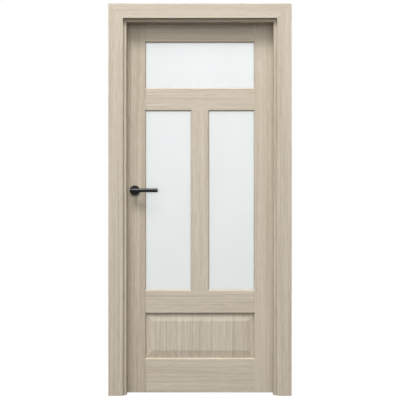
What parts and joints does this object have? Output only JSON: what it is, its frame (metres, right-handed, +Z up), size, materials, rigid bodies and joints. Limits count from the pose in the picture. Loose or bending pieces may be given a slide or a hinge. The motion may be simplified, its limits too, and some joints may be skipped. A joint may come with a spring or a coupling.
{
  "type": "glazed interior door with frame",
  "caption": "Hinged wooden interior door with frosted glass panes over a raised panel, in a cased frame, with a straight lever on each face.",
  "frame": {"origin": "on the wall face of the hinge jamb, at floor level, half way through the wall", "axes": "+X out of the hinge jamb into the wall, +Y from the front, with the deep reveal, to the side the leaf opens to, +Z up"},
  "size_m": [0.9946, 0.19, 2.1273],
  "materials": {
    "wood_upright": "pale grey-beige wood finish, satin, grain up and down",
    "wood_level": "pale grey-beige wood finish, satin, grain from side to side",
    "frosted_glass": "white frosted, satin",
    "black_metal": "black, satin",
    "steel": "brushed",
    "seal": "beige, matt"
  },
  "bodies": {
    "frame": {"latch_jamb": "wood_upright", "hinge_jamb": "wood_upright", "head_jamb": "wood_level", "front_casing_latch": "wood_upright", "front_casing_hinge": "wood_upright", "front_casing_head": "wood_level", "rear_casing_latch": "wood_upright", "rear_casing_hinge": "wood_upright", "rear_casing_head": "wood_level", "seal_latch": "seal", "seal_hinge": "seal", "seal_head": "seal", "strike_plate": "steel", "lower_hinge_frame_part": "black_metal", "middle_hinge_frame_part": "black_metal", "upper_hinge_frame_part": "black_metal"},
    "leaf": {"latch_stile": "wood_upright", "hinge_stile": "wood_upright", "top_rail": "wood_level", "upper_mid_rail": "wood_level", "lower_mid_rail": "wood_level", "bottom_rail": "wood_level", "muntin": "wood_upright", "bottom_panel": "wood_upright", "top_pane": "frosted_glass", "left_pane": "frosted_glass", "right_pane": "frosted_glass", "latch_faceplate": "steel", "latch_bolt": "steel", "front_rose": "black_metal", "rear_rose": "black_metal", "lower_hinge_leaf_part": "black_metal", "middle_hinge_leaf_part": "black_metal", "upper_hinge_leaf_part": "black_metal"},
    "lever": {"front_lever": "black_metal", "rear_lever": "black_metal", "spindle": "steel"}
  },
  "joints": [
    {"name": "door_swing", "type": "hinge", "parent": "frame", "child": "leaf", "pos_m": [-0.011, 0.06825, 0], "axis": [0, 0, -1], "range_deg": [0, 170]},
    {"name": "lever_turn", "type": "hinge", "parent": "leaf", "child": "lever", "pos_m": [-0.8, 0.0555, 1.1145], "axis": [0, 1, 0], "range_deg": [0, 45], "stiffness_Nm_per_rad": 1.5, "springref_deg": -22.92}
  ]
}
